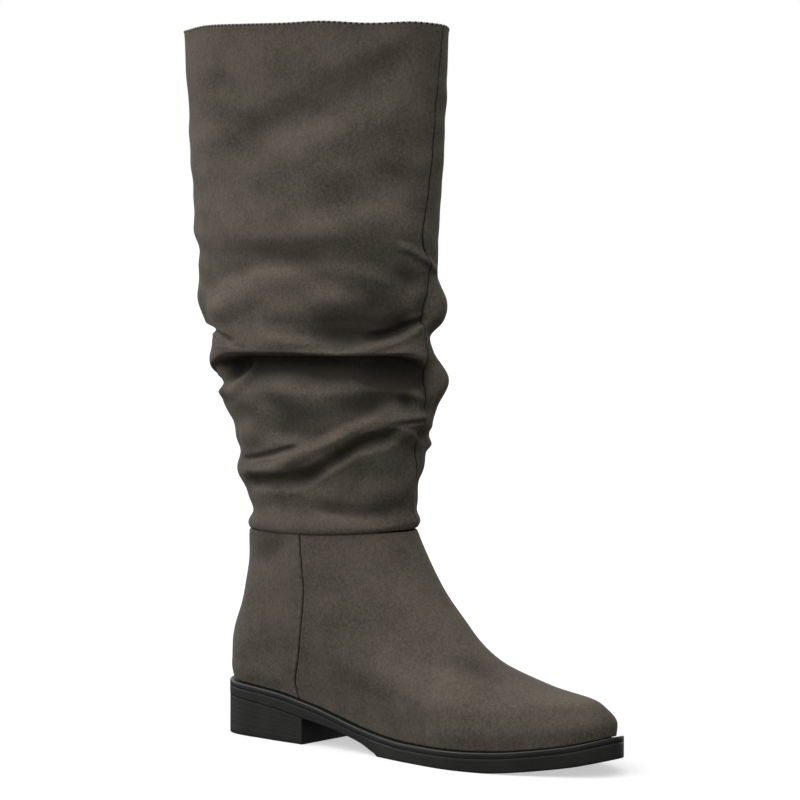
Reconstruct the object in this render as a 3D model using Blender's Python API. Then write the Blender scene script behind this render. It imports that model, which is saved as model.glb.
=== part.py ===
"""Tall pull-on slouch boot for the right foot, standing empty on its sole.

The foot is lofted from level sections between the feather line and the ankle seam, and the shaft
from level sections with its slack folds laid over them. Sizes are in millimetres, heel to toe.
"""

import math

import bmesh
import bpy
from mathutils import Vector

MM = 0.001

# Driving dimensions
HEEL_CENTRE = 36.0      # from the back of the heel to the middle of its tread, which is the origin
HEEL_LENGTH = 72.0      # from the back of the heel to its breast
ANKLE_HEIGHT = 122.0    # floor to the seam between foot and shaft
ANKLE_RISE = 2.0        # how much that seam climbs from the middle to the front
COLLAR_HEIGHT = 407.0   # floor to the top line of the shaft
COLLAR_DROP = 2.0       # how much the top line falls from the middle to the front
UPPER_WALL = 1.8        # synthetic suede with its backing and lining
WELT_WIDTH = 2.6        # what the welt shows outside the upper
WELT_THICKNESS = 3.4
HEEL_FLARE = 0.8        # the heel's tread is this much wider than its seat
INSOLE_THICKNESS = 4.5
GAP = 0.3               # between pieces that meet

# Mesh fineness
AROUND = 44             # faces round the upper and the shaft
ALONG = 34              # faces along the sole, heel to toe
ACROSS = 2              # faces across the sole
HEEL_ALONG = 14

# Places round a section where its half-widths are given, in degrees from the back
REAR_ANGLE = 22.0
HEEL_ANGLE = 45.0
WAIST_ANGLE = 84.0
JOINT_ANGLE = 100.0
BALL_ANGLE = 115.0
FORE_ANGLE = 132.0
TOE_ANGLE = 148.0

# Level sections of the foot: level is the share of the way up from the feather line to the ankle seam
FOOT_COLUMNS = ("level", "back", "front", "tip", "rear", "heel", "waist_lat", "waist_med",
                "joint_lat", "joint_med", "ball_lat", "ball_med", "fore_lat", "fore_med", "toe_lat", "toe_med")
FOOT_ROWS = (
    (0.000, 2.6, 265.3, 6.0, 19.5, 24.3, 27.5, 21.0, 33.7, 29.0, 36.3, 38.0, 28.3, 36.0, 16.3, 27.5),
    (0.080, 1.3, 265.3, 6.0, 20.5, 26.0, 29.2, 23.0, 35.2, 30.5, 37.8, 39.5, 29.6, 37.0, 17.3, 28.0),
    (0.150, 1.6, 259.5, 6.0, 20.5, 26.6, 30.3, 24.7, 35.6, 31.5, 37.4, 38.5, 29.3, 35.3, 17.5, 26.3),
    (0.210, 2.0, 249.0, 5.5, 20.3, 26.8, 31.2, 26.5, 35.3, 32.0, 36.5, 36.0, 28.8, 32.0, 17.5, 23.3),
    (0.277, 2.8, 222.0, 5.0, 19.5, 26.6, 32.0, 29.0, 34.7, 32.5, 34.5, 33.0, 28.0, 28.7, 17.3, 20.5),
    (0.387, 5.0, 188.5, 4.0, 17.8, 26.0, 33.3, 32.0, 33.9, 32.8, 32.5, 31.3, 26.2, 26.6, 17.0, 19.2),
    (0.585, 9.5, 161.0, 2.0, 15.0, 25.2, 34.2, 33.6, 34.0, 33.4, 31.6, 31.0, 25.6, 25.6, 17.6, 18.5),
    (0.790, 13.5, 140.7, 1.0, 13.4, 24.7, 34.5, 34.3, 34.3, 34.1, 31.6, 31.4, 25.9, 25.9, 18.2, 18.5),
    (1.000, 14.3, 126.9, 0.0, 13.1, 24.7, 34.8, 34.8, 34.5, 34.5, 31.7, 31.7, 26.0, 26.0, 18.5, 18.5),
)
FOOT_LEVELS = (0.0, 0.035, 0.07, 0.105, 0.14, 0.17, 0.195, 0.22, 0.245, 0.275, 0.315, 0.37, 0.44, 0.53, 0.64,
               0.76, 0.88, 1.0)

# Heights along the foot: the welt's top, which is the feather line, and the underside of the outsole
SOLE_COLUMNS = ("station", "feather", "underside")
SOLE_ROWS = (
    (-3.0, 32.0, 23.5),
    (50.0, 28.0, 18.5),
    (72.0, 24.4, 15.0),
    (84.0, 22.0, 13.2),
    (100.0, 18.0, 10.3),
    (117.0, 14.0, 6.0),
    (128.0, 12.2, 2.6),
    (138.0, 11.2, 0.0),
    (150.0, 10.4, 0.0),
    (187.0, 10.4, 0.0),
    (208.0, 11.2, 0.0),
    (224.0, 12.5, 1.6),
    (252.0, 16.5, 5.6),
    (270.0, 20.5, 9.5),
)
TREAD_START = 138.0     # the forefoot's flat tread runs between these stations
TREAD_END = 208.0

# Level sections of the shaft without its folds
SHAFT_COLUMNS = ("height", "centre", "half_depth", "half_breadth")
SHAFT_ROWS = (
    (122.0, 70.6, 56.3, 35.0),
    (135.0, 70.8, 56.0, 35.0),
    (150.0, 69.8, 58.5, 36.5),
    (165.0, 71.0, 62.5, 38.0),
    (180.0, 71.0, 67.0, 39.0),
    (200.0, 68.5, 74.0, 41.0),
    (220.0, 63.8, 78.0, 41.7),
    (250.0, 59.8, 82.0, 42.0),
    (290.0, 57.2, 86.0, 41.5),
    (340.0, 57.3, 90.0, 42.0),
    (380.0, 56.8, 92.5, 42.7),
    (410.0, 56.5, 94.0, 43.0),
)
SHAFT_SMOOTH_FROM = 296.0   # above this height the shaft hangs without folds
SHAFT_FOLD_STEP = 5.6       # spacing of the sections through the folds
SHAFT_SMOOTH_STEP = 14.0

# Folds of the slack shaft: each runs between two angles (0 front, 90 medial, 180 back, 270 lateral) at
# three heights, is soft over a distance above and below its line, and reaches out or in
FOLD_COLUMNS = ("start", "end", "z_start", "z_mid", "z_end", "above", "below", "reach")
FOLD_ROWS = (
    (175, 300, 283, 280, 280, 8, 7, -2.6),      # dip under the smooth top
    (180, 380, 264, 262, 256, 15, 14, 2.6),     # broad upper roll
    (355, 430, 248, 249, 250, 9, 10, 5.0),      # knob of the upper roll at the front
    (185, 238, 234, 234, 232, 7, 5, -4.5),      # notch at the back
    (300, 430, 226, 231, 232, 7, 7, -4.5),      # tuck above the main lip
    (190, 372, 222, 222, 225, 9, 4, 4.5),       # main lip
    (216, 400, 211, 211, 214, 5, 9, -5.0),      # hollow under the main lip
    (362, 430, 205, 206, 205, 11, 11, 5.5),     # knob under the lip at the front
    (180, 226, 203, 203, 202, 6, 5, -2.5),      # second notch at the back
    (205, 350, 196, 192, 190, 14, 12, 3.0),     # lower roll
    (205, 400, 168, 180, 190, 9, 5, -4.0),      # hollow above the rope fold
    (190, 385, 156, 171, 184, 7, 6, 5.0),       # rope fold climbing to the front
    (195, 392, 147, 160, 174, 5, 10, -2.6),     # hollow under the rope fold
    (372, 408, 168, 168, 167, 5, 4, 3.0),       # small peak at the front
    (60, 205, 266, 263, 262, 14, 14, 2.6),      # medial rolls and hollows
    (55, 210, 240, 238, 238, 8, 8, -4.0),
    (50, 215, 222, 220, 221, 9, 7, 4.0),
    (50, 205, 205, 207, 206, 7, 8, -4.0),
    (40, 215, 190, 189, 194, 11, 10, 3.0),
    (35, 215, 178, 172, 168, 7, 7, -3.0),
    (30, 210, 168, 160, 156, 7, 7, 3.0),
    (0, 360, 134, 134, 134, 6, 5, -1.2),        # hem drawn in, then blousing over the ankle seam
    (0, 360, 127.5, 127.5, 127.5, 4, 3, 1.4),
)
FOLD_FADE = 26.0        # degrees over which a fold dies out at its ends
FULL_TURN = 360.0

SUEDE_COLOUR = (0.085, 0.079, 0.066, 1.0)
LINING_COLOUR = (0.16, 0.145, 0.12, 1.0)
RUBBER_COLOUR = (0.012, 0.012, 0.012, 1.0)


def column(rows, columns, name):
    """One named column of a table."""
    place = columns.index(name)
    return [row[place] for row in rows]


def smooth_through(knots, values, at):
    """The value at a place on a smooth curve through the knots, flat beyond its ends."""
    if at <= knots[0]:
        return values[0]
    if at >= knots[-1]:
        return values[-1]
    last = len(knots) - 1
    i = max(k for k in range(last) if knots[k] <= at)

    def slope(k):
        low, high = max(k - 1, 0), min(k + 1, last)
        return (values[high] - values[low]) / (knots[high] - knots[low])

    width = knots[i + 1] - knots[i]
    t = (at - knots[i]) / width
    start = values[i] * (1 + 2 * t) * (1 - t) ** 2 + slope(i) * width * t * (1 - t) ** 2
    return start + values[i + 1] * t * t * (3 - 2 * t) + slope(i + 1) * width * t * t * (t - 1)


def read(rows, columns, name, at):
    """A named column at a place along the table's first column."""
    return smooth_through(column(rows, columns, columns[0]), column(rows, columns, name), at)


def feather_height(station):
    return read(SOLE_ROWS, SOLE_COLUMNS, "feather", station)


def underside_height(station):
    if TREAD_START <= station <= TREAD_END:
        return 0.0
    return max(0.0, read(SOLE_ROWS, SOLE_COLUMNS, "underside", station))


def ankle_height(angle):
    """Height of the ankle seam, which climbs slightly to the front."""
    return ANKLE_HEIGHT + ANKLE_RISE * math.cos(angle)


def place(station, y, z):
    """A point in metres, from the middle of the heel's tread."""
    return Vector(((station - HEEL_CENTRE) * MM, y * MM, z * MM))


def section_outline(level, angle):
    """Station and y of a foot section: angle runs from 0 at the back past +90 medial and -90 lateral."""
    row = {name: read(FOOT_ROWS, FOOT_COLUMNS, name, level) for name in FOOT_COLUMNS[1:]}
    lateral = [-row[name + "_lat"] for name in ("toe", "fore", "ball", "joint", "waist")]
    medial = [row[name + "_med"] for name in ("waist", "joint", "ball", "fore", "toe")]
    half = [REAR_ANGLE, HEEL_ANGLE, WAIST_ANGLE, JOINT_ANGLE, BALL_ANGLE, FORE_ANGLE, TOE_ANGLE, 180.0]
    knots = [-angle_of for angle_of in reversed(half)] + [0.0] + half
    widths = ([row["tip"]] + lateral + [-row["heel"], -row["rear"], 0.0, row["rear"], row["heel"]]
              + medial + [row["tip"]])
    # The knots beyond each end continue on the other side, which keeps the toe round
    knots = [TOE_ANGLE - FULL_TURN] + knots + [FULL_TURN - TOE_ANGLE]
    widths = [row["toe_med"]] + widths + [-row["toe_lat"]]
    y = smooth_through(knots, widths, angle)
    station = row["back"] + (row["front"] - row["back"]) * (1 - math.cos(math.radians(angle))) / 2
    return station, y


def outline_with_margin(angle, margin):
    """The feather line moved outwards by a margin, in plan."""
    step = 1.0
    station, y = section_outline(0.0, angle)
    ahead = section_outline(0.0, wrapped(angle + step))
    behind = section_outline(0.0, wrapped(angle - step))
    along = Vector((ahead[0] - behind[0], ahead[1] - behind[1])).normalized()
    return station - along.y * margin, y + along.x * margin


def wrapped(angle):
    return (angle + 180.0) % FULL_TURN - 180.0


def fold_reach(angle, height):
    """How far the folds push the shaft's wall out at a place."""
    total = 0.0
    for row in FOLD_ROWS:
        fold = dict(zip(FOLD_COLUMNS, row))
        span = fold["end"] - fold["start"]
        along = (angle - fold["start"]) % FULL_TURN
        if along > span and span < FULL_TURN:
            continue
        t = along / span
        line = (fold["z_start"] * (1 - t) * (1 - 2 * t) + fold["z_mid"] * 4 * t * (1 - t)
                + fold["z_end"] * t * (2 * t - 1))
        soft = fold["above"] if height > line else fold["below"]
        away = abs(height - line) / soft
        if away >= 2.0:
            continue
        profile = math.cos(math.pi * away / 4) ** 2
        ends = 1.0
        if span < FULL_TURN:
            ends = min(1.0, along / FOLD_FADE, (span - along) / FOLD_FADE)
            ends = ends * ends * (3 - 2 * ends)
        total += fold["reach"] * profile * ends
    return total


def shaft_point(angle, height):
    """A point of the shaft's outer face: angle 0 is the front and 90 the medial side."""
    centre = read(SHAFT_ROWS, SHAFT_COLUMNS, "centre", height)
    depth = read(SHAFT_ROWS, SHAFT_COLUMNS, "half_depth", height)
    breadth = read(SHAFT_ROWS, SHAFT_COLUMNS, "half_breadth", height)
    turn = math.radians(angle)
    out = Vector((math.cos(turn) / depth, math.sin(turn) / breadth)).normalized()
    reach = fold_reach(angle, height)
    rise = (height - ANKLE_HEIGHT) / (COLLAR_HEIGHT - ANKLE_HEIGHT)
    tilt = (1 - rise) * (ankle_height(turn) - ANKLE_HEIGHT + GAP) - rise * COLLAR_DROP * math.cos(turn)
    return place(centre + depth * math.cos(turn) + out.x * reach,
                 breadth * math.sin(turn) + out.y * reach,
                 height + tilt)


def foot_point(angle, level):
    """A point of the foot's outer face, angle measured as for the shaft."""
    station, y = section_outline(level, wrapped(angle - 180.0) * -1.0)
    foot = feather_height(station) + 1.5 * GAP
    return place(station, y, foot + (ankle_height(math.radians(angle)) - foot) * level)


def new_object(name, mesh_builder, material):
    """An object from a bmesh, shaded smooth with its hard edges kept."""
    mesh = bpy.data.meshes.new(name)
    mesh_builder.to_mesh(mesh)
    mesh_builder.free()
    mesh.materials.append(material)
    mesh.shade_smooth()
    mesh.set_sharp_from_angle(angle=math.radians(40))
    made = bpy.data.objects.new(name, mesh)
    bpy.context.scene.collection.objects.link(made)
    return made


def hollow_wall(name, point, rows, material):
    """A tube of sections with a wall of real thickness, open at both ends."""
    builder = bmesh.new()
    bmesh.ops.create_grid(builder, x_segments=AROUND, y_segments=len(rows) - 1, size=1.0)
    for vert in builder.verts:
        angle = (vert.co.x + 1) / 2 * FULL_TURN
        row = rows[round((vert.co.y + 1) / 2 * (len(rows) - 1))]
        vert.co = point(angle % FULL_TURN, row)
    bmesh.ops.remove_doubles(builder, verts=builder.verts, dist=GAP * MM / 10)
    bmesh.ops.recalc_face_normals(builder, faces=builder.faces)
    made = new_object(name, builder, material)
    wall = made.modifiers.new("wall", "SOLIDIFY")
    wall.thickness = UPPER_WALL * MM
    wall.offset = -1.0
    wall.use_quality_normals = True
    return made


def plate(name, margin, top, bottom, material, first=0.0, last=180.0, along=ALONG, spread=0.0):
    """A slab with the sole's outline between two angles from the back; its lower face may spread wider."""
    builder = bmesh.new()
    bmesh.ops.create_grid(builder, x_segments=along, y_segments=ACROSS, size=1.0)

    def lay(vert, share, side, extra, height):
        angle = first + (last - first) * share
        lateral = outline_with_margin(-angle, margin + extra)
        medial = outline_with_margin(angle, margin + extra)
        station = lateral[0] + (medial[0] - lateral[0]) * side
        vert.co = place(station, lateral[1] + (medial[1] - lateral[1]) * side, height(station))

    marks = {vert: ((vert.co.x + 1) / 2, (vert.co.y + 1) / 2) for vert in builder.verts}
    upper_verts = list(builder.verts)
    pulled = bmesh.ops.extrude_face_region(builder, geom=list(builder.faces), use_keep_orig=True)
    lower = [item for item in pulled["geom"] if isinstance(item, bmesh.types.BMVert)]
    by_place = {(round(vert.co.x, 6), round(vert.co.y, 6)): marks[vert] for vert in upper_verts}
    lower_marks = [(vert, by_place[(round(vert.co.x, 6), round(vert.co.y, 6))]) for vert in lower]
    for vert in upper_verts:
        lay(vert, *marks[vert], 0.0, top)
    for vert, mark in lower_marks:
        lay(vert, *mark, spread, bottom)
    bmesh.ops.remove_doubles(builder, verts=builder.verts, dist=GAP * MM / 10)
    bmesh.ops.recalc_face_normals(builder, faces=builder.faces)
    return new_object(name, builder, material)


def welt_strip(material):
    """The strip between upper and outsole, a closed ring of rectangular section."""
    builder = bmesh.new()
    inner = -(UPPER_WALL + GAP)
    corners = ((WELT_WIDTH, 0.0), (WELT_WIDTH, -WELT_THICKNESS), (inner, -WELT_THICKNESS), (inner, 0.0))
    count = 2 * ALONG
    bmesh.ops.create_grid(builder, x_segments=count, y_segments=len(corners), size=1.0)
    for vert in builder.verts:
        angle = wrapped(round((vert.co.x + 1) / 2 * count) / count * FULL_TURN)
        margin, drop = corners[round((vert.co.y + 1) / 2 * len(corners)) % len(corners)]
        station, y = outline_with_margin(angle, margin)
        vert.co = place(station, y, feather_height(station) + drop)
    bmesh.ops.remove_doubles(builder, verts=builder.verts, dist=GAP * MM / 10)
    bmesh.ops.recalc_face_normals(builder, faces=builder.faces)
    return new_object("welt", builder, material)


def angle_at(station, margin):
    """The angle from the back at which the sole's outline reaches a station."""
    low, high = 0.0, 180.0
    for _ in range(40):
        middle = (low + high) / 2
        if outline_with_margin(middle, margin)[0] < station:
            low = middle
        else:
            high = middle
    return low


def surface(name, colour, roughness):
    """A plain finish for a sub-part."""
    made = bpy.data.materials.new(name)
    made.use_nodes = True
    shader = made.node_tree.nodes["Principled BSDF"]
    shader.inputs["Base Color"].default_value = colour
    shader.inputs["Roughness"].default_value = roughness
    return made


def shaft_heights():
    """Section heights, close together through the folds and wide apart above them."""
    heights = []
    height = ANKLE_HEIGHT
    while height < COLLAR_HEIGHT - SHAFT_SMOOTH_STEP / 2:
        heights.append(height)
        height += SHAFT_FOLD_STEP if height < SHAFT_SMOOTH_FROM else SHAFT_SMOOTH_STEP
    return heights + [COLLAR_HEIGHT]


def main():
    for thing in list(bpy.data.objects):
        bpy.data.objects.remove(thing)
    suede = surface("suede", SUEDE_COLOUR, 0.9)
    lining = surface("lining", LINING_COLOUR, 0.8)
    rubber = surface("rubber", RUBBER_COLOUR, 0.45)

    hollow_wall("upper", foot_point, FOOT_LEVELS, suede)
    hollow_wall("shaft", shaft_point, shaft_heights(), suede)
    welt_strip(rubber)

    def outsole_top(station):
        return feather_height(station) - WELT_THICKNESS - GAP

    plate("outsole", WELT_WIDTH, outsole_top, underside_height, rubber)

    def insole_bottom(station):
        return outsole_top(station) + GAP

    def insole_top(station):
        return insole_bottom(station) + INSOLE_THICKNESS

    plate("insole", -(UPPER_WALL + 3 * GAP), insole_top, insole_bottom, lining)

    def heel_top(station):
        return underside_height(station) - GAP

    def floor(_station):
        return 0.0

    breast = angle_at(HEEL_LENGTH, WELT_WIDTH)
    plate("heel", WELT_WIDTH - HEEL_FLARE, heel_top, floor, rubber, last=breast, along=HEEL_ALONG,
          spread=HEEL_FLARE)


main()
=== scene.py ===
"""Visual model of the tall slouch boot: suede foot and slack shaft, rubber sole, lining and stitching.

The foot and the shaft follow the sections of the solid model and add seams, hems and the finer folds.
Sizes are in millimetres, heel to toe, until a piece is laid out in metres.
"""

import math

import bmesh
import bpy
import numpy as np
from mathutils import Matrix, Vector


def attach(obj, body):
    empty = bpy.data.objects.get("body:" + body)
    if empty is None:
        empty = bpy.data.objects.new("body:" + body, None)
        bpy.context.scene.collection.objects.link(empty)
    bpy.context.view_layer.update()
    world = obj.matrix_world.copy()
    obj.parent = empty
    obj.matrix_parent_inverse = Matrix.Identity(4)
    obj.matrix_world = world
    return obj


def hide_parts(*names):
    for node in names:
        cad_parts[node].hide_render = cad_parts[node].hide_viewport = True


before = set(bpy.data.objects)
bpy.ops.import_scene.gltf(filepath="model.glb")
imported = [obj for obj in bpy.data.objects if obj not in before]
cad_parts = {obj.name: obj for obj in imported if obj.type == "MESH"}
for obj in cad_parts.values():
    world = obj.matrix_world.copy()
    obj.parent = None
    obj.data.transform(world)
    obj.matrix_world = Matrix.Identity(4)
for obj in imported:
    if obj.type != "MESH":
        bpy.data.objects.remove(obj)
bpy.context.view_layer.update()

MM = 0.001

# Driving dimensions
HEEL_CENTRE = 36.0      # from the heel's back to the frame's origin
HEEL_LENGTH = 72.0
ANKLE_HEIGHT = 122.0
ANKLE_RISE = 2.0        # the ankle seam is this much higher at the front and lower at the back
COLLAR_HEIGHT = 407.0
COLLAR_DROP = 2.0       # and the collar this much lower at the front and higher at the back
WALL = 2.0              # suede, backing and lining together
WELT_WIDTH = 2.6
TOE_SHARE = 0.6         # the welt is wider by this share round the toe
WELT_TUCK = 1.7         # it reaches this far in under the suede
WELT_THICKNESS = 3.4
HEEL_FLARE = 0.1        # the heel stands out this much further at its foot than at its top
GAP = 0.3               # the foot stands this far above the welt, and the shaft above the foot
BED = 0.05              # rubber pieces lie this far apart where they are glued

# Level sections of the foot, from the feather line to the ankle seam
FOOT_COLUMNS = ("level", "back", "front", "tip", "rear", "heel", "waist_lat", "waist_med", "joint_lat",
                "joint_med", "ball_lat", "ball_med", "fore_lat", "fore_med", "toe_lat", "toe_med")
FOOT_ROWS = (
    (0.000, 2.6, 265.3, 6.0, 19.5, 24.3, 27.5, 21.0, 33.7, 29.0, 36.3, 38.0, 28.3, 36.0, 16.3, 27.5),
    (0.080, 1.3, 265.3, 6.0, 20.5, 26.0, 29.2, 23.0, 35.2, 30.5, 37.8, 39.5, 29.6, 37.0, 17.3, 28.0),
    (0.150, 1.6, 259.5, 6.0, 20.5, 26.6, 30.3, 24.7, 35.6, 31.5, 37.4, 38.5, 29.3, 35.3, 17.5, 26.3),
    (0.210, 2.0, 250.5, 5.5, 20.3, 26.8, 31.2, 26.5, 35.3, 32.0, 36.5, 36.0, 28.8, 32.0, 17.5, 23.3),
    (0.277, 2.8, 224.5, 5.0, 19.5, 26.6, 32.0, 29.0, 34.7, 32.5, 34.5, 33.0, 28.0, 28.7, 17.3, 20.5),
    (0.387, 5.0, 188.5, 4.0, 17.8, 26.0, 33.3, 32.0, 33.9, 32.8, 32.5, 31.3, 26.2, 26.6, 17.0, 19.2),
    (0.585, 9.5, 161.0, 2.0, 15.0, 25.2, 34.2, 33.6, 34.0, 33.4, 31.6, 31.0, 25.6, 25.6, 17.6, 18.5),
    (0.790, 13.5, 140.7, 1.0, 13.4, 24.7, 34.5, 34.3, 34.3, 34.1, 31.6, 31.4, 25.9, 25.9, 18.2, 18.5),
    (1.000, 14.3, 126.9, 0.0, 13.1, 24.7, 34.8, 34.8, 34.5, 34.5, 31.7, 31.7, 26.0, 26.0, 18.5, 18.5),
)
SECTION_ANGLES = (22.0, 45.0, 84.0, 100.0, 115.0, 132.0, 148.0)   # rear, heel, waist, joint, ball, fore, toe

# The counter seam down the side of the foot: its station at each level
COUNTER_SEAM = ((0.0, 67.5), (0.1, 66.5), (0.22, 69.5), (0.36, 73.5), (0.5, 77.0), (0.67, 79.0), (0.8, 78.3),
                (1.0, 76.3))
# A sewn seam: depth and half width of its groove, then height, distance and half width of the swell beside it
SEAM_GROOVE = (0.9, 0.42)
SEAM_SWELL = (0.22, 1.7, 1.0)

# Heights along the foot: the welt's top and the underside of the outsole
SOLE_COLUMNS = ("station", "feather", "underside")
SOLE_ROWS = (
    (-3.0, 32.0, 23.5), (50.0, 28.0, 18.5), (72.0, 24.4, 15.0), (84.0, 22.0, 13.2), (100.0, 18.0, 10.3),
    (117.0, 14.0, 6.1), (128.0, 12.2, 1.7), (138.0, 11.2, 0.0), (150.0, 10.4, 0.0), (187.0, 10.4, 0.0),
    (208.0, 11.2, 0.0), (224.0, 12.5, 1.3), (252.0, 16.8, 5.2), (270.0, 21.8, 9.4),
)
TREAD_START = 129.5      # the tread stands a small step below the waist
TREAD_END = 208.0

# Level sections of the shaft without its folds
SHAFT_COLUMNS = ("height", "centre", "half_depth", "half_breadth")
SHAFT_ROWS = (
    (122.0, 70.6, 56.3, 35.0), (135.0, 70.8, 56.0, 35.0), (150.0, 69.8, 58.5, 36.5),
    (165.0, 71.0, 62.5, 38.0), (180.0, 71.0, 67.0, 39.0), (200.0, 68.5, 74.0, 41.0),
    (220.0, 63.8, 78.0, 41.7), (250.0, 59.8, 82.0, 42.0), (290.0, 57.2, 86.0, 41.5),
    (340.0, 57.3, 90.0, 42.0), (380.0, 56.8, 92.5, 42.7), (410.0, 56.5, 94.0, 43.0),
)

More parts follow.
